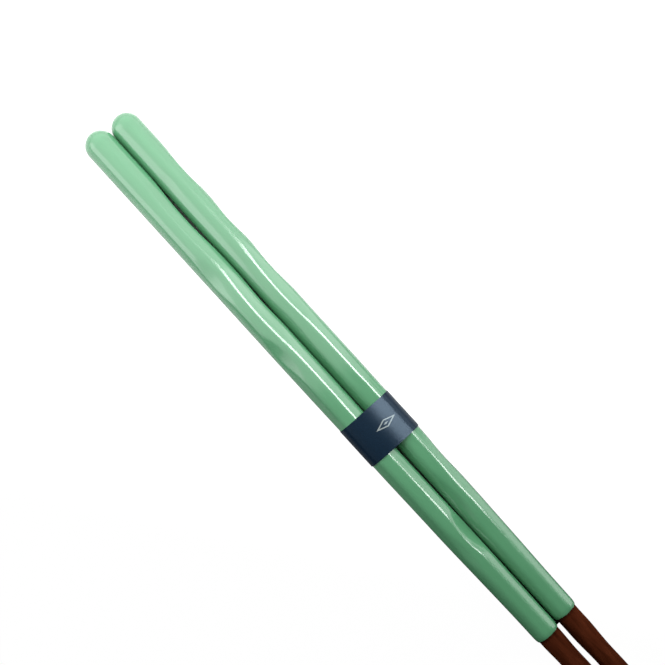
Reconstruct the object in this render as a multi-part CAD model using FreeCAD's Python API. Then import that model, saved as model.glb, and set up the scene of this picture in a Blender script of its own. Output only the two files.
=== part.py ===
# A pair of lacquered bamboo chopsticks, laid side by side and held together by a glued paper band.
#
# +X runs from the round heads to the eating tips, +Y across the pair and +Z up. The origin is on the
# surface that the pair lies on, midway along and across it. Sizes are millimetres, angles are degrees.
#
# Each chopstick is one bamboo rod, turned round, slimmed towards the tip and carved along the handle
# with a gouge, in short scoops and long flats. It was then dipped in thick lacquer from the head down
# to a rounded lip. Below the lip the rod is bare, thinner, and tapers straight to a blunt tip. The band
# is one strip of paper, wrapped round both rods and glued to itself underneath.
import FreeCAD, Part

import math
import os
from collections import namedtuple

# The rods
STICK_LENGTH = 235.0
HEAD_WIDTH = 7.9            # across the lacquered handle, near the head
LIP_WIDTH = 6.74            # across the lacquered handle, just above the lip
SLIM_START = 84.0           # where the handle begins to slim, from the head
HEAD_DOME_LENGTH = 4.1
HEAD_FLAT_WIDTH = 1.0       # the small flat at the top of the dome
LACQUER_LENGTH_LEFT = 169.7
LACQUER_LENGTH_RIGHT = 168.3
LIP_ROUND_LENGTH = 1.8
LACQUER_STEP = 0.42         # how far the lacquer stands above the bare rod
LIP_FLAT = 0.1              # the lacquer's square edge, left where its lip meets the rod
TIP_TAPER = 0.0155          # loss of radius for each millimetre of bare rod
TIP_END_ROUND = 1.0

# How the pair lies
STAGGER = 0.7               # how far the left head lies ahead of the right one
TOE_IN = 0.13               # each rod leans this much towards the other, at its tip
ROD_GAP = 0.06              # between the rods, where they come nearest

# The paper band
BAND_FROM_HEAD = 97.2       # from the left head to the band's first edge
BAND_WIDTH = 11.8
PAPER = 0.2
BAND_CLEARANCE = 0.05       # between the paper and the rods
LAP_LENGTH = 6.0            # glued double layer, under the pair

# The carving. A cut is a gouge's round sweep along the rod. Its floor is `depth` below the surface at
# its middle station, and it leaves the rod `reach` before and after that. It is on the side that faces
# `turn`: 0 is up, 90 is towards +Y, -90 is towards -Y. Stations are distances from the rod's own head.
Cut = namedtuple("Cut", "station turn reach depth")

LEFT_SCOOPS = [
    Cut(32, 46, 12.5, 0.95), Cut(60, 50, 7.0, 0.60), Cut(48.5, -34, 6.0, 0.35), Cut(71, -46, 6.5, 0.50),
    Cut(137, 38, 7.0, 0.80), Cut(140, -38, 5.0, 0.25),
    Cut(26, 150, 7.0, 0.45), Cut(52, -140, 8.0, 0.60), Cut(74, 140, 6.0, 0.45), Cut(131, -150, 6.0, 0.35),
]
RIGHT_SCOOPS = [
    Cut(21, 74, 6.5, 0.40), Cut(22, -42, 3.5, 0.28), Cut(38, 74, 5.5, 0.40), Cut(54, 72, 7.0, 0.44),
    Cut(69, -58, 6.0, 0.50), Cut(128.5, -46, 8.0, 0.50), Cut(118, 72, 5.5, 0.30),
    Cut(30, 170, 8.5, 0.70), Cut(48, 145, 6.5, 0.45), Cut(75, -160, 6.0, 0.45), Cut(133, 140, 6.0, 0.35),
]
FLATS = [
    Cut(98, 22.5, 46, 0.26), Cut(97, 67.5, 38, 0.22), Cut(98, 112.5, 32, 0.18), Cut(100, 157.5, 30, 0.22),
    Cut(99, -157.5, 32, 0.22), Cut(101, -112.5, 28, 0.16), Cut(102, -67.5, 34, 0.22),
    Cut(99, -22.5, 45, 0.28),
]


def handle_radius(station):
    """Half the handle's width at a distance from the head, before it is carved."""
    share = min(1.0, max(0.0, (station - SLIM_START) / (SLIM_END - SLIM_START)))
    return HEAD_WIDTH / 2 - (HEAD_WIDTH - LIP_WIDTH) / 2 * share


def bare_radius(lacquer_length):
    """The bare rod's radius where it comes out of the lacquer."""
    return handle_radius(lacquer_length) - LACQUER_STEP


def line(start, end):
    """A straight stretch of a rod's outline."""
    return Part.LineSegment(start, end).toShape()


def rounded(start, corner, end):
    """A quarter of an ellipse in place of a square corner of a rod's outline."""
    fullness = 4 / 3 * math.tan(math.pi / 8)
    bend = Part.BezierCurve()
    bend.setPoles([start, start + (corner - start) * fullness, end + (corner - end) * fullness, end])
    return bend.toShape()


def turned_rod(lacquer_length):
    """The chopstick before it is carved, with its head at the origin: one outline spun about its axis."""
    def at(station, radius):
        return FreeCAD.Vector(station, radius, 0)

    head = HEAD_WIDTH / 2
    lip = handle_radius(lacquer_length)
    root = bare_radius(lacquer_length)
    taper_end = STICK_LENGTH - TIP_END_ROUND
    tip = root - TIP_TAPER * (taper_end - lacquer_length)
    edges = [
        line(at(0, 0), at(0, HEAD_FLAT_WIDTH / 2)),
        rounded(at(0, HEAD_FLAT_WIDTH / 2), at(0, head), at(HEAD_DOME_LENGTH, head)),
        line(at(HEAD_DOME_LENGTH, head), at(SLIM_START, head)),
        line(at(SLIM_START, head), at(SLIM_END, lip)),
        line(at(SLIM_END, lip), at(lacquer_length - LIP_ROUND_LENGTH, lip)),
        rounded(
            at(lacquer_length - LIP_ROUND_LENGTH, lip),
            at(lacquer_length, lip),
            at(lacquer_length, root + LIP_FLAT),
        ),
        line(at(lacquer_length, root + LIP_FLAT), at(lacquer_length, root)),
        line(at(lacquer_length, root), at(taper_end, tip)),
        rounded(at(taper_end, tip), at(STICK_LENGTH, tip), at(STICK_LENGTH, tip - TIP_END_ROUND)),
        line(at(STICK_LENGTH, tip - TIP_END_ROUND), at(STICK_LENGTH, 0)),
        line(at(STICK_LENGTH, 0), at(0, 0)),
    ]
    return Part.Face(Part.Wire(edges)).revolve(FreeCAD.Vector(), FreeCAD.Vector(1, 0, 0), 360)


def gouge_sweep(cut):
    """What one cut takes away: a drum that lies square across the rod and rolls into it."""
    drum = (cut.reach ** 2 + cut.depth ** 2) / (2 * cut.depth)
    slope = math.atan((handle_radius(cut.station + 1) - handle_radius(cut.station - 1)) / 2)
    floor = handle_radius(cut.station) - cut.depth
    centre = FreeCAD.Vector(
        cut.station - drum * math.sin(slope), -HEAD_WIDTH, floor + drum * math.cos(slope)
    )
    sweep = Part.makeCylinder(drum, 2 * HEAD_WIDTH, centre, FreeCAD.Vector(0, 1, 0))
    sweep.rotate(FreeCAD.Vector(), FreeCAD.Vector(1, 0, 0), -cut.turn)
    return sweep


def chopstick(lacquer_length, scoops, head_x, y, lean):
    """One whole chopstick in its place in the pair. It leans about the middle of the band."""
    rod = turned_rod(lacquer_length).cut([gouge_sweep(cut) for cut in FLATS + scoops])
    rod.translate(FreeCAD.Vector(head_x, y, AXIS_HEIGHT))
    rod.rotate(FreeCAD.Vector(BAND_MIDDLE, y, AXIS_HEIGHT), FreeCAD.Vector(0, 0, 1), lean)
    return rod


def stadium(radius, width):
    """A solid with straight flat sides above and below the pair and a round end at each side of it."""
    ends = [
        Part.makeCylinder(radius, width, FreeCAD.Vector(0, y, AXIS_HEIGHT), FreeCAD.Vector(1, 0, 0))
        for y in (-SPREAD, SPREAD)
    ]
    middle = Part.makeBox(width, 2 * SPREAD, 2 * radius, FreeCAD.Vector(0, -SPREAD, AXIS_HEIGHT - radius))
    return middle.fuse(ends).removeSplitter()


def paper_band():
    """The band: one layer of paper all round the pair, and a second one over the glued lap underneath."""
    ring = stadium(BAND_RADIUS + PAPER, BAND_WIDTH).cut(stadium(BAND_RADIUS, BAND_WIDTH))
    lap = Part.makeBox(BAND_WIDTH, LAP_LENGTH, PAPER, FreeCAD.Vector(0, -LAP_LENGTH / 2, 0))
    band = ring.fuse(lap).removeSplitter()
    band.translate(FreeCAD.Vector(BAND_MIDDLE - BAND_WIDTH / 2, 0, 0))
    return band


# The handle has reached the lip's width a little before the lip rounds off.
SLIM_END = min(LACQUER_LENGTH_LEFT, LACQUER_LENGTH_RIGHT) - 2 * LIP_ROUND_LENGTH

LEFT_HEAD_X = -(STICK_LENGTH + STAGGER) / 2
RIGHT_HEAD_X = LEFT_HEAD_X + STAGGER
BAND_MIDDLE = LEFT_HEAD_X + BAND_FROM_HEAD + BAND_WIDTH / 2

# The rods lie as near to each other as their handles allow, at the place where they come nearest.
LACQUERED_TOGETHER = [
    RIGHT_HEAD_X + station for station in range(int(HEAD_DOME_LENGTH), int(LACQUER_LENGTH_RIGHT))
]
SPREAD = ROD_GAP / 2 + max(
    (handle_radius(x - LEFT_HEAD_X) + handle_radius(x - RIGHT_HEAD_X)) / 2
    + (x - BAND_MIDDLE) * math.tan(math.radians(TOE_IN))
    for x in LACQUERED_TOGETHER
)
BAND_RADIUS = BAND_CLEARANCE + max(
    handle_radius(BAND_FROM_HEAD), handle_radius(BAND_FROM_HEAD - STAGGER)
)
AXIS_HEIGHT = BAND_RADIUS + 2 * PAPER

os.makedirs("parts", exist_ok=True)
pieces = {
    "chopstick_left": chopstick(LACQUER_LENGTH_LEFT, LEFT_SCOOPS, LEFT_HEAD_X, -SPREAD, TOE_IN),
    "chopstick_right": chopstick(LACQUER_LENGTH_RIGHT, RIGHT_SCOOPS, RIGHT_HEAD_X, SPREAD, -TOE_IN),
    "paper_band": paper_band(),
}
for name, piece in pieces.items():
    piece.exportStep("parts/" + name + ".step")
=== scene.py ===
# A pair of lacquered bamboo chopsticks, held side by side by a glued paper band.
# Metres, in the frame of the solids: +X from the heads to the tips, +Y across the pair, +Z up.
import math
from collections import namedtuple

import bmesh
import bpy
from mathutils import Matrix, Vector


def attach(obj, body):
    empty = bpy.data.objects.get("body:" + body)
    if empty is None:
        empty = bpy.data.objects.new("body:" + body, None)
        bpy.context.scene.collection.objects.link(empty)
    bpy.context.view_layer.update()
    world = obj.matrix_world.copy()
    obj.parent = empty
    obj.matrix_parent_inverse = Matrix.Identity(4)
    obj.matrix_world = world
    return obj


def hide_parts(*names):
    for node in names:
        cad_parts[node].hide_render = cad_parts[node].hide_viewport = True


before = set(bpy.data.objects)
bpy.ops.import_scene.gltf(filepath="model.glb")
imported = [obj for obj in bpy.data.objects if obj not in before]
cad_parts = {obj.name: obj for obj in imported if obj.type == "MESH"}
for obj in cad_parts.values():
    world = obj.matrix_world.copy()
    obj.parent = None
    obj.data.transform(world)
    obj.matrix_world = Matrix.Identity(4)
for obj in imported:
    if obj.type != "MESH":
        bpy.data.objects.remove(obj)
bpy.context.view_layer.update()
MM = 0.001


# The table top
# A plain white sheet under the pair. Its colour carries a painted fall-off of light, darker towards the tips
# and the near side, and a painted shadow under the lacquered handles, where the rods touch, cuts its glow
# off there.
TABLE_HALF_SIZE = 1.5
TABLE_TONE = 0.42
TABLE_SHEEN_TONE = 0.85
TABLE_GLOW = 0.99
# Painted fall-off: the sheet's colour, and the lighter tone that reflections see, darkens towards the tips
# and the near side.
PAINTED_FALL_OFF_WAY = (1.0, -1.5, 0.0)
PAINTED_FALL_OFF_START = -0.070
PAINTED_FALL_OFF_END = 0.055
PAINTED_FAR_LEVEL = 0.02
# Painted shadow: a strip under the lacquered handles where the camera sees no glow.
PAINTED_SHADOW_FROM = -0.1135
PAINTED_SHADOW_TO = 0.0530
PAINTED_SHADOW_HALF_WIDTH = 0.0035


def new_material(name):
    """A material with its nodes and links."""
    material = bpy.data.materials.new(name)
    material.use_nodes = True
    return material, material.node_tree.nodes, material.node_tree.links


def arithmetic(nodes, links):
    """A function that puts a math node on two sockets or numbers and gives the result's socket."""
    def sums(operation, first, second):
        node = nodes.new("ShaderNodeMath")
        node.operation = operation
        for socket, value in zip(node.inputs, (first, second)):
            if isinstance(value, float):
                socket.default_value = value
            else:
                links.new(value, socket)
        return node.outputs[0]

    return sums


def table_material():
    """Matte white with a painted fall-off of light, and a glow that only the camera sees, cut off by a
    painted shadow under the handles.
    """
    material, nodes, links = new_material("table_white")
    sums = arithmetic(nodes, links)
    nodes.clear()
    place = nodes.new("ShaderNodeTexCoord")
    rays = nodes.new("ShaderNodeLightPath")
    axes = nodes.new("ShaderNodeSeparateXYZ")
    links.new(place.outputs["Object"], axes.inputs["Vector"])

    # Painted fall-off of light along the sheet, multiplied into its colour.
    way = nodes.new("ShaderNodeVectorMath")
    way.operation = "DOT_PRODUCT"
    way.inputs[1].default_value = PAINTED_FALL_OFF_WAY
    links.new(place.outputs["Object"], way.inputs[0])
    painted_fall_off = nodes.new("ShaderNodeMapRange")
    painted_fall_off.interpolation_type = "SMOOTHSTEP"
    painted_fall_off.inputs["From Min"].default_value = PAINTED_FALL_OFF_START
    painted_fall_off.inputs["From Max"].default_value = PAINTED_FALL_OFF_END
    painted_fall_off.inputs["To Min"].default_value = 1.0
    painted_fall_off.inputs["To Max"].default_value = PAINTED_FAR_LEVEL
    links.new(way.outputs["Value"], painted_fall_off.inputs["Value"])
    tone = nodes.new("ShaderNodeMapRange")
    tone.inputs["To Min"].default_value = TABLE_TONE
    tone.inputs["To Max"].default_value = TABLE_SHEEN_TONE
    links.new(rays.outputs["Is Glossy Ray"], tone.inputs["Value"])
    matte = nodes.new("ShaderNodeBsdfDiffuse")
    links.new(sums("MULTIPLY", tone.outputs["Result"], painted_fall_off.outputs["Result"]), matte.inputs["Color"])

    # Painted shadow: the glow is cut off in a strip under the handles.
    middle = (PAINTED_SHADOW_FROM + PAINTED_SHADOW_TO) / 2
    half_length = (PAINTED_SHADOW_TO - PAINTED_SHADOW_FROM) / 2
    aside = sums("LESS_THAN", sums("ABSOLUTE", axes.outputs["Y"], 0.0), PAINTED_SHADOW_HALF_WIDTH)
    off = sums("SUBTRACT", axes.outputs["X"], middle)
    along_painted_shadow = sums("LESS_THAN", sums("ABSOLUTE", off, 0.0), half_length)
    outside_painted_shadow = sums("SUBTRACT", 1.0, sums("MULTIPLY", aside, along_painted_shadow))
    glow = nodes.new("ShaderNodeEmission")
    seen = sums("MULTIPLY", rays.outputs["Is Camera Ray"], outside_painted_shadow)
    links.new(sums("MULTIPLY", seen, TABLE_GLOW), glow.inputs["Strength"])
    both = nodes.new("ShaderNodeAddShader")
    out = nodes.new("ShaderNodeOutputMaterial")
    links.new(matte.outputs[0], both.inputs[0])
    links.new(glow.outputs[0], both.inputs[1])
    links.new(both.outputs[0], out.inputs["Surface"])
    return material


sheet = bmesh.new()
bmesh.ops.create_grid(sheet, x_segments=1, y_segments=1, size=TABLE_HALF_SIZE)
table_mesh = bpy.data.meshes.new("table")
sheet.to_mesh(table_mesh)
sheet.free()
table_mesh.materials.append(table_material())
table = bpy.data.objects.new("table", table_mesh)
bpy.context.collection.objects.link(table)


# The chopsticks
# Each is a bamboo rod, turned round and slimmed, carved along the handle with a gouge in short scoops
# and long flats, and dipped in thick mint lacquer from the head down to a rounded lip. Bare bamboo,
# stained dark, comes out of the lip and tapers to a blunt tip.
STICK_LENGTH = 235.0
HANDLE_RADII = [(0, 3.97), (84, 3.97), (110, 3.79), (130, 3.74), (166, 3.41), (235, 3.41)]
HEAD_RADIUS = 3.97
LIP_RADIUS = 3.41
HEAD_DOME_LENGTH = 4.1
LIP_ROUND_LENGTH = 1.8
LACQUER_STEP = 0.42
LIP_FLAT = 0.1
TIP_TAPER = 0.0155
TIP_END_ROUND = 1.0
AXIS_HEIGHT = 4.28
SPREAD = 4.055
CLOSING = 0.45
CLOSING_START = 104.0
CLOSING_END = 172.0
RIDGE_SOFTNESS = 30.0
ROUND_STEPS = 120
RING_STEP = 1.0
DOME_STEPS = 15
LIP_STEPS = 10
TIP_STEPS = 6
WELD = 1e-4
WAVE_RATE = 0.42
WAVE_HEIGHT = 0.03
WAVE_EASE = 6.0

# Stations are millimetres from the head, turns are degrees off the top towards +Y. A cut reaches as far
# to either side of its station.
Cut = namedtuple("Cut", "station turn reach depth")
Flat = namedtuple("Flat", "start end turn depth")
Stick = namedtuple("Stick", "node head_x y lacquer scoops ridge seed")

FLAT_EASE = 14.0
FLAT_HALF_WIDTH = math.radians(22.5)
LONG_FLATS = [
    Flat(42, 180, 22.5, 0.13), Flat(56, 150, 67.5, 0.08), Flat(66, 140, 112.5, 0.13),
    Flat(70, 138, 157.5, 0.18), Flat(66, 142, -157.5, 0.18), Flat(74, 138, -112.5, 0.10),
    Flat(66, 150, -67.5, 0.18), Flat(44, 180, -22.5, 0.14),
]
# After its scoops each rod has the course of its top ridge, as (station, turn), and a number that sets
# where the wave in its bare wood begins.
STICKS = [
    Stick("chopstick_left", -117.85, -SPREAD, 169.7, [
        Cut(32, 31, 12.5, 0.52), Cut(31.5, 74, 11.0, 0.62), Cut(60, 36, 7.5, 0.32), Cut(60, 76, 6.5, 0.35),
        Cut(48.5, -34, 6.0, 0.35), Cut(74.5, -46, 6.5, 0.50),
        Cut(62, 18, 13.0, 0.42), Cut(137, 38, 7.0, 0.80), Cut(140, -38, 5.0, 0.25),
        Cut(26, 150, 7.0, 0.45), Cut(52, -140, 8.0, 0.60), Cut(74, 140, 6.0, 0.45),
        Cut(131, -150, 6.0, 0.35),
    ], [(0, 0), (45, -2), (61, -5), (75, 2), (88, 3), (96, 0), (119, 9), (150, 11), (235, 11)], 1.7),
    Stick("chopstick_right", -117.15, SPREAD, 168.3, [
        Cut(20, -36, 34.0, 0.25), Cut(21, 74, 6.5, 0.40), Cut(22, -42, 3.5, 0.28),
        Cut(38, 74, 5.5, 0.40), Cut(54, 72, 7.0, 0.44), Cut(60, 18, 13.0, 0.42),
        Cut(69, -58, 6.0, 0.22), Cut(128.5, -46, 8.0, 0.50), Cut(118, 72, 5.5, 0.30),
        Cut(30, 170, 8.5, 0.70), Cut(48, 145, 6.5, 0.45), Cut(75, -160, 6.0, 0.45),
        Cut(133, 140, 6.0, 0.35),
    ], [
        (0, -4), (50, -5), (59, -6), (72, 1), (87, 2), (93, 7), (108, 9), (117, 11), (125, 5), (133, 12),
        (235, 11),
    ], 5.3),
]
BUMP_DEPTH = 0.0002
LACQUER_STOPS = [(0.3, (0.100, 0.318, 0.158, 1)), (0.7, (0.112, 0.344, 0.174, 1))]
LACQUER_CLOUDS = (70, 300, 300)
LACQUER_RIPPLES = (110, 420, 420)
LACQUER_BUMP = 0.03
LACQUER_ROUGHNESS = 0.22
COAT_ROUGHNESS = 0.10
BAMBOO_STOPS = [(0.3, (0.038, 0.0080, 0.0030, 1)), (0.75, (0.098, 0.0230, 0.0092, 1))]
BAMBOO_FIBRES = (110, 800, 800)
FIBRE_ROUGHNESS = 0.65
BAMBOO_BUMP = 0.5
BAMBOO_ROUGHNESS = 0.75


def smooth(share):
    """An easy start and an easy stop between 0 and 1."""
    share = min(1.0, max(0.0, share))
    return share * share * (3 - 2 * share)


def ridge_turn(station, ridge):
    """How far round the rod its top ridge has wandered here, in radians."""
    for (start, first), (end, last) in zip(ridge, ridge[1:]):
        if start <= station <= end:
            return math.radians(first + (last - first) * smooth((station - start) / (end - start)))
    return 0.0


def handle_radius(station):
    """Half the handle's width before it is carved."""
    for (start, first), (end, last) in zip(HANDLE_RADII, HANDLE_RADII[1:]):
        if start <= station <= end:
            return first + (last - first) * smooth((station - start) / (end - start))
    return LIP_RADIUS


def quarter_turn(steps):
    """Angles from nothing to a right angle, in equal steps."""
    return [math.radians(90 * k / steps) for k in range(steps + 1)]


def half_outline(lacquer):
    """(station, radius) down one side of the turned rod, from the head to the tip."""
    dome = quarter_turn(DOME_STEPS)
    points = [(HEAD_DOME_LENGTH * (1 - math.cos(a)), HEAD_RADIUS * math.sin(a)) for a in dome]
    lip_start = lacquer - LIP_ROUND_LENGTH
    rings = round((lip_start - HEAD_DOME_LENGTH) / RING_STEP)
    for k in range(1, rings + 1):
        station = HEAD_DOME_LENGTH + (lip_start - HEAD_DOME_LENGTH) * k / rings
        points.append((station, handle_radius(station)))
    root = LIP_RADIUS - LACQUER_STEP
    for a in quarter_turn(LIP_STEPS)[1:]:
        radius = root + LIP_FLAT + (LACQUER_STEP - LIP_FLAT) * math.cos(a)
        points.append((lip_start + LIP_ROUND_LENGTH * math.sin(a), radius))
    points.append((lacquer, root))
    taper_end = STICK_LENGTH - TIP_END_ROUND
    rings = round((taper_end - lacquer) / RING_STEP)
    for k in range(1, rings + 1):
        along = (taper_end - lacquer) * k / rings
        points.append((lacquer + along, root - TIP_TAPER * along))
    tip = root - TIP_TAPER * (taper_end - lacquer)
    for a in quarter_turn(TIP_STEPS)[1:]:
        radius = tip - TIP_END_ROUND * (1 - math.cos(a))
        points.append((taper_end + TIP_END_ROUND * math.sin(a), radius))
    points.append((STICK_LENGTH, 0.0))
    return points


def carved(station, facet_turn, turn, stick):
    """The share of the turned radius that the gouge leaves, on the side that faces turn.

    facet_turn is where that side lies among the long flats, whose ridges wander round the rod.
    """
    radius = handle_radius(station)
    share = 1.0
    for flat in LONG_FLATS:
        aside = math.remainder(facet_turn - math.radians(flat.turn), math.tau)
        if abs(aside) < FLAT_HALF_WIDTH:
            ease = smooth((station - flat.start) / FLAT_EASE) * smooth((flat.end - station) / FLAT_EASE)
            share -= flat.depth / radius * ease * math.cos(aside / FLAT_HALF_WIDTH * math.pi / 2) ** 2
    total = share ** -RIDGE_SOFTNESS
    for cut in stick.scoops:
        facing = math.cos(turn - math.radians(cut.turn))
        drum = (cut.reach ** 2 + cut.depth ** 2) / (2 * cut.depth)
        slope = math.atan((handle_radius(cut.station + 1) - handle_radius(cut.station - 1)) / 2)
        off = station - (cut.station - drum * math.sin(slope))
        if facing <= 0 or abs(off) >= drum:
            continue
        centre = handle_radius(cut.station) - cut.depth + drum * math.cos(slope)
        floor = centre - math.sqrt(drum ** 2 - off ** 2)
        total += (radius * facing / floor) ** RIDGE_SOFTNESS
    return total ** (-1 / RIDGE_SOFTNESS)


def stretched_noise(nodes, links, scale, detail):
    """Noise with its own scale along the rod and across it."""
    place = nodes.new("ShaderNodeTexCoord")
    stretch = nodes.new("ShaderNodeMapping")
    stretch.inputs["Scale"].default_value = scale
    noise = nodes.new("ShaderNodeTexNoise")
    noise.inputs["Scale"].default_value = 1.0
    noise.inputs["Detail"].default_value = detail
    links.new(place.outputs["Object"], stretch.inputs["Vector"])
    links.new(stretch.outputs["Vector"], noise.inputs["Vector"])
    return noise


def tinted(nodes, links, noise, stops):
    """The colour that two (position, colour) stops give to the noise."""
    ramp = nodes.new("ShaderNodeValToRGB")
    for element, (position, colour) in zip(ramp.color_ramp.elements, stops):
        element.position = position
        element.color = colour
    links.new(noise.outputs["Fac"], ramp.inputs["Fac"])
    return ramp.outputs["Color"]


def roughen(nodes, links, noise, strength, depth):
    """Let the noise raise and lower the surface a little."""
    bump = nodes.new("ShaderNodeBump")
    bump.inputs["Strength"].default_value = strength
    bump.inputs["Distance"].default_value = depth
    links.new(noise.outputs["Fac"], bump.inputs["Height"])
    links.new(bump.outputs["Normal"], nodes["Principled BSDF"].inputs["Normal"])


def lacquer_material():
    """Thick mint lacquer: a clear gloss over an even colour, on wood that the gouge left a little uneven."""
    material, nodes, links = new_material("mint_lacquer")
    shader = nodes["Principled BSDF"]
    clouds = stretched_noise(nodes, links, LACQUER_CLOUDS, 3.0)
    links.new(tinted(nodes, links, clouds, LACQUER_STOPS), shader.inputs["Base Color"])
    ripples = stretched_noise(nodes, links, LACQUER_RIPPLES, 1.0)
    roughen(nodes, links, ripples, LACQUER_BUMP, BUMP_DEPTH)
    shader.inputs["Roughness"].default_value = LACQUER_ROUGHNESS
    shader.inputs["Coat Weight"].default_value = 1.0
    shader.inputs["Coat Roughness"].default_value = COAT_ROUGHNESS
    return material


def bamboo_material():
    """Bare bamboo, stained dark reddish brown, with fine fibres along the rod."""
    material, nodes, links = new_material("stained_bamboo")
    shader = nodes["Principled BSDF"]
    fibres = stretched_noise(nodes, links, BAMBOO_FIBRES, 5.0)
    fibres.inputs["Roughness"].default_value = FIBRE_ROUGHNESS
    links.new(tinted(nodes, links, fibres, BAMBOO_STOPS), shader.inputs["Base Color"])
    roughen(nodes, links, fibres, BAMBOO_BUMP, BUMP_DEPTH)
    shader.inputs["Roughness"].default_value = BAMBOO_ROUGHNESS
    shader.inputs["Specular IOR Level"].default_value = 0.0
    return material


def chopstick(stick, finishes):
    """Spin the half outline about the rod's axis, carve it, and lay it in its place in the pair."""
    rod = bmesh.new()
    line = [rod.verts.new((station, 0, radius)) for station, radius in half_outline(stick.lacquer)]
    edges = [rod.edges.new(pair) for pair in zip(line, line[1:])]
    bmesh.ops.spin(
        rod, geom=line + edges, cent=(0, 0, 0), axis=(1, 0, 0), angle=math.tau, steps=ROUND_STEPS,
        use_merge=True,
    )
    bmesh.ops.remove_doubles(rod, verts=rod.verts, dist=WELD)
    for vert in rod.verts:
        station = vert.co.x
        facet_turn = math.atan2(vert.co.y, vert.co.z)
        turn = facet_turn
        if station < stick.lacquer - WELD:
            if abs(facet_turn) < math.pi / 2:
                turn += ridge_turn(station, stick.ridge) * math.cos(facet_turn) ** 2
            share = carved(station, facet_turn, turn, stick)
        else:
            past = max(0.0, station - stick.lacquer)
            wave = math.sin(past * WAVE_RATE + stick.seed + math.sin(turn + stick.seed))
            share = 1 + WAVE_HEIGHT * wave * min(1.0, past / WAVE_EASE)
        radius = share * math.hypot(vert.co.y, vert.co.z)
        vert.co.y = radius * math.sin(turn)
        vert.co.z = radius * math.cos(turn)
    bmesh.ops.recalc_face_normals(rod, faces=rod.faces)
    for face in rod.faces:
        face.smooth = True
        face.material_index = 1 if face.calc_center_median().x > stick.lacquer - WELD else 0
    inward = -math.copysign(CLOSING, stick.y)
    for vert in rod.verts:
        vert.co.y += inward * smooth((vert.co.x - CLOSING_START) / (CLOSING_END - CLOSING_START))
    bmesh.ops.translate(rod, verts=rod.verts, vec=(stick.head_x, stick.y, AXIS_HEIGHT))
    bmesh.ops.scale(rod, vec=(MM, MM, MM), verts=rod.verts)
    mesh = bpy.data.meshes.new(stick.node + "_rod")
    rod.to_mesh(mesh)
    rod.free()
    for finish in finishes:
        mesh.materials.append(finish)
    piece = bpy.data.objects.new(stick.node + "_rod", mesh)
    bpy.context.collection.objects.link(piece)
    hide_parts(stick.node)
    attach(piece, "root")


rod_finishes = [lacquer_material(), bamboo_material()]
for stick in STICKS:
    chopstick(stick, rod_finishes)


# The paper band
# One strip of smooth navy paper, wrapped once round both rods and glued to itself underneath, where
# its end lies on its beginning. It bridges the hollow between the rods in a slight crown, and it sits
# a little askew.
BAND_MIDDLE = -14.75
BAND_WIDTH = 11.8
PAPER = 0.12
BAND_RADIUS = 3.85
BAND_LEAN = 0.022
CROWN_TURN = math.radians(11)
LAP_HALF = 3.0
LAP_BEND_START = 0.8
LAP_BEND_MIDDLE = 0.3
LAP_BEND_END = 0.2
FLOOR_STEPS = 8
SIDE_STEPS = 24
CROWN_STEPS = 20
LAP_STEPS = 6
WIDTH_STEPS = 12
SHARP_EDGE = math.radians(40)
LOZENGE_Y = 1.0
LOZENGE_HALF_LENGTH = 3.3
LOZENGE_HALF_WIDTH = 1.1
LOZENGE_LINE = 0.72
LOZENGE_HEART = 0.22
INK = (0.30, 0.34, 0.33, 1)
PAPER_STOPS = [(0.3, (0.0030, 0.0110, 0.0230, 1)), (0.7, (0.0048, 0.0165, 0.0345, 1))]
TOOTH_SCALE = 3500.0
TOOTH_BUMP = 0.3
TOOTH_DEPTH = 0.00005
PAPER_ROUGHNESS = 0.24
PAPER_SHEEN = 0.34
PAPER_SHEEN_TINT = (0.60, 0.80, 1.0, 1)


def band_path():
    """(y, z) of the strip's inner side, from under the lap, round the pair and back over the lap."""
    inner = BAND_RADIUS
    floor = AXIS_HEIGHT - inner
    points = [
        (LAP_HALF - (LAP_HALF + SPREAD) * k / FLOOR_STEPS, floor) for k in range(FLOOR_STEPS + 1)
    ]
    side = math.pi - CROWN_TURN
    for k in range(1, SIDE_STEPS + 1):
        a = math.pi + side * k / SIDE_STEPS
        points.append((-SPREAD + inner * math.sin(a), AXIS_HEIGHT + inner * math.cos(a)))
    shoulder = -points[-1][0]
    low = points[-1][1]
    rise = shoulder * math.tan(CROWN_TURN) / 2
    for k in range(1, CROWN_STEPS):
        y = -shoulder + 2 * shoulder * k / CROWN_STEPS
        points.append((y, low + rise * (1 - (y / shoulder) ** 2)))
    for k in range(SIDE_STEPS + 1):
        a = CROWN_TURN + side * k / SIDE_STEPS
        points.append((SPREAD + inner * math.sin(a), AXIS_HEIGHT + inner * math.cos(a)))
    points.append((LAP_HALF + LAP_BEND_START, floor))
    points.append((LAP_HALF + LAP_BEND_MIDDLE, floor - 0.5 * PAPER))
    for k in range(LAP_STEPS + 1):
        back = (2 * LAP_HALF - LAP_BEND_END) * k / LAP_STEPS
        points.append((LAP_HALF - LAP_BEND_END - back, floor - PAPER))
    return points


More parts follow.
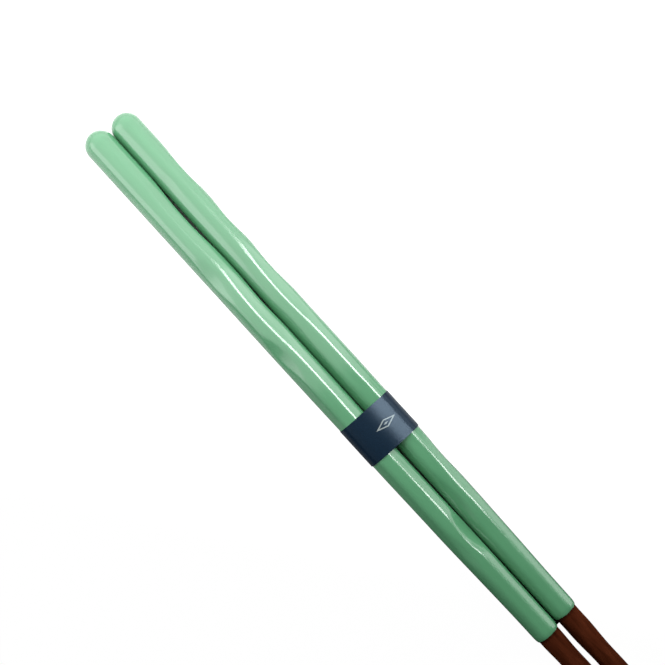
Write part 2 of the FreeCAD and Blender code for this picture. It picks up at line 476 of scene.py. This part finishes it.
def paper_material():
    """Smooth navy paper with a satin surface and a fine tooth, and one slim lozenge printed in pale grey."""
    material, nodes, links = new_material("navy_paper")
    sums = arithmetic(nodes, links)
    shader = nodes["Principled BSDF"]
    place = nodes.new("ShaderNodeTexCoord")
    tooth = nodes.new("ShaderNodeTexNoise")
    tooth.inputs["Scale"].default_value = TOOTH_SCALE
    tooth.inputs["Detail"].default_value = 4.0
    links.new(place.outputs["Object"], tooth.inputs["Vector"])
    axes = nodes.new("ShaderNodeSeparateXYZ")
    links.new(place.outputs["Object"], axes.inputs["Vector"])
    wide = sums("ABSOLUTE", sums("SUBTRACT", axes.outputs["X"], BAND_MIDDLE * MM), 0.0)
    tall = sums("ABSOLUTE", sums("SUBTRACT", axes.outputs["Y"], LOZENGE_Y * MM), 0.0)
    wide = sums("DIVIDE", wide, LOZENGE_HALF_WIDTH * MM)
    reach = sums("ADD", wide, sums("DIVIDE", tall, LOZENGE_HALF_LENGTH * MM))
    line = sums("MULTIPLY", sums("LESS_THAN", reach, 1.0), sums("GREATER_THAN", reach, LOZENGE_LINE))
    printed = sums("MAXIMUM", line, sums("LESS_THAN", reach, LOZENGE_HEART))
    upper = sums("GREATER_THAN", axes.outputs["Z"], AXIS_HEIGHT * MM)
    ink = nodes.new("ShaderNodeMix")
    ink.data_type = "RGBA"
    ink.inputs["B"].default_value = INK
    links.new(sums("MULTIPLY", printed, upper), ink.inputs["Factor"])
    links.new(tinted(nodes, links, tooth, PAPER_STOPS), ink.inputs["A"])
    links.new(ink.outputs["Result"], shader.inputs["Base Color"])
    roughen(nodes, links, tooth, TOOTH_BUMP, TOOTH_DEPTH)
    shader.inputs["Roughness"].default_value = PAPER_ROUGHNESS
    shader.inputs["Specular IOR Level"].default_value = PAPER_SHEEN
    shader.inputs["Specular Tint"].default_value = PAPER_SHEEN_TINT
    return material


strip = bmesh.new()
line = [strip.verts.new((BAND_MIDDLE - BAND_WIDTH / 2, y, z)) for y, z in band_path()]
edges = [strip.edges.new(pair) for pair in zip(line, line[1:])]
for _ in range(WIDTH_STEPS):
    grown = bmesh.ops.extrude_edge_only(strip, edges=edges)["geom"]
    line = [part for part in grown if isinstance(part, bmesh.types.BMVert)]
    edges = [part for part in grown if isinstance(part, bmesh.types.BMEdge) and part.is_boundary]
    edges = [part for part in edges if all(vert in line for vert in part.verts)]
    bmesh.ops.translate(strip, verts=line, vec=(BAND_WIDTH / WIDTH_STEPS, 0, 0))
bmesh.ops.recalc_face_normals(strip, faces=strip.faces)
bmesh.ops.solidify(strip, geom=strip.faces, thickness=-PAPER)
bmesh.ops.recalc_face_normals(strip, faces=strip.faces)
for face in strip.faces:
    face.smooth = True
for edge in strip.edges:
    edge.smooth = edge.calc_face_angle(0.0) < SHARP_EDGE
lean = Matrix(((1, BAND_LEAN, 0, 2 * BAND_LEAN * SPREAD), (0, 1, 0, 0), (0, 0, 1, 0), (0, 0, 0, 1)))
bmesh.ops.transform(strip, matrix=lean, space=Matrix.Identity(4), verts=strip.verts)
bmesh.ops.scale(strip, vec=(MM, MM, MM), verts=strip.verts)
band_mesh = bpy.data.meshes.new("paper_strip")
strip.to_mesh(band_mesh)
strip.free()
band_mesh.materials.append(paper_material())
band = bpy.data.objects.new("paper_strip", band_mesh)
bpy.context.collection.objects.link(band)
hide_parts("paper_band")
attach(band, "root")


# Studio light
# Two wide soft boxes hang low over the heads and the table behind them, and light the pair from there.
# A strip box in two parts draws the long highlight, and white cards at the sides show in the outer
# facets of the lacquer.
STRIP_AIM = (-0.02, 0.0, 0.004)


def placed(side, up, back, place):
    """The matrix of a thing at place, with its own X, Y and Z along these directions."""
    return Matrix((
        (side.x, up.x, back.x, place.x),
        (side.y, up.y, back.y, place.y),
        (side.z, up.z, back.z, place.z),
        (0, 0, 0, 1),
    ))


def soft_box(name, place, aim, size, power):
    lamp = bpy.data.lights.new(name, "AREA")
    lamp.shape = "RECTANGLE"
    lamp.size, lamp.size_y = size
    lamp.energy = power
    box = bpy.data.objects.new(name, lamp)
    bpy.context.collection.objects.link(box)
    box.visible_camera = False
    place = Vector(place)
    back = (place - Vector(aim)).normalized()
    side = Vector((1, 0, 0))
    side = (side - back * side.dot(back)).normalized()
    box.matrix_world = placed(side, back.cross(side), back, place)


soft_box("head_box", (-0.830, 0.0, 0.12), (-0.830, 0.0, 0), (1.532, 3.2), 20.0)
soft_box("head_veil", (-0.814, 0.0, 0.12), (-0.814, 0.0, 0), (1.572, 3.2), 15.5)
soft_box("strip_box", (-0.0255, 0.445, 0.725), STRIP_AIM, (0.177, 0.36), 2.5)
soft_box("strip_end", (0.131, 0.445, 0.725), STRIP_AIM, (0.062, 0.36), 0.85)
soft_box("side_card", (0.11, 1.05, 0.58), STRIP_AIM, (0.5, 0.45), 1.2)
soft_box("low_card", (0.31, 1.05, 0.17), (0.31, 0.0, 0.17), (0.42, 0.32), 0.72)
soft_box("near_card", (-0.295, -0.30, 0.12), (-0.295, 0.0, 0.12), (0.41, 0.24), 0.43)

# The room is dim and its backdrop is white. What a gloss surface mirrors of it is white at the heads
# and dark at the tips.
ROOM_LIGHT = 0.05
ROOM_SHEEN = 0.75
ROOM_FADE = 0.20
BACKDROP = 1.0
world = bpy.data.worlds.new("dim_room")
bpy.context.scene.world = world
world.use_nodes = True
room = world.node_tree.nodes
room_links = world.node_tree.links
room_place = room.new("ShaderNodeTexCoord")
room_axes = room.new("ShaderNodeSeparateXYZ")
room_fall = room.new("ShaderNodeMapRange")
room_fall.interpolation_type = "SMOOTHSTEP"
room_fall.inputs["From Min"].default_value = -ROOM_FADE
room_fall.inputs["From Max"].default_value = ROOM_FADE
room_fall.inputs["To Min"].default_value = ROOM_SHEEN
room_fall.inputs["To Max"].default_value = ROOM_LIGHT
room_rays = room.new("ShaderNodeLightPath")
room_level = room.new("ShaderNodeMix")
room_level.inputs["A"].default_value = ROOM_LIGHT
room_links.new(room_place.outputs["Generated"], room_axes.inputs["Vector"])
room_links.new(room_axes.outputs["X"], room_fall.inputs["Value"])
room_links.new(room_rays.outputs["Is Glossy Ray"], room_level.inputs["Factor"])
room_links.new(room_fall.outputs["Result"], room_level.inputs["B"])
room_seen = room.new("ShaderNodeMix")
room_seen.inputs["B"].default_value = BACKDROP
room_links.new(room_rays.outputs["Is Camera Ray"], room_seen.inputs["Factor"])
room_links.new(room_level.outputs["Result"], room_seen.inputs["A"])
room_links.new(room_seen.outputs["Result"], room["Background"].inputs["Strength"])
room["Background"].inputs["Color"].default_value = (1, 1, 1, 1)


# The camera
# It looks down on the pair from above, a little from the side of the left stick, and is rolled so
# that the pair runs from the upper left of the frame to the lower right.
AIM = Vector((-40.3, 7.79, 4.30)) * MM
DISTANCE = 0.3789
TILT = math.radians(16)
ROLL = math.radians(47.66)
LENS = 81.2
SENSOR = 36
NEAREST = 0.01

across = Vector((0, math.cos(TILT), math.sin(TILT)))
along = Vector((1, 0, 0))
back = along.cross(across)
right = along * math.cos(ROLL) + across * math.sin(ROLL)
up = across * math.cos(ROLL) - along * math.sin(ROLL)
lens = bpy.data.cameras.new("camera")
lens.lens = LENS
lens.sensor_width = SENSOR
lens.clip_start = NEAREST
camera = bpy.data.objects.new("camera", lens)
bpy.context.collection.objects.link(camera)
camera.matrix_world = placed(right, up, back, AIM + back * DISTANCE)
bpy.context.scene.camera = camera
bpy.context.scene.view_settings.view_transform = "Standard"
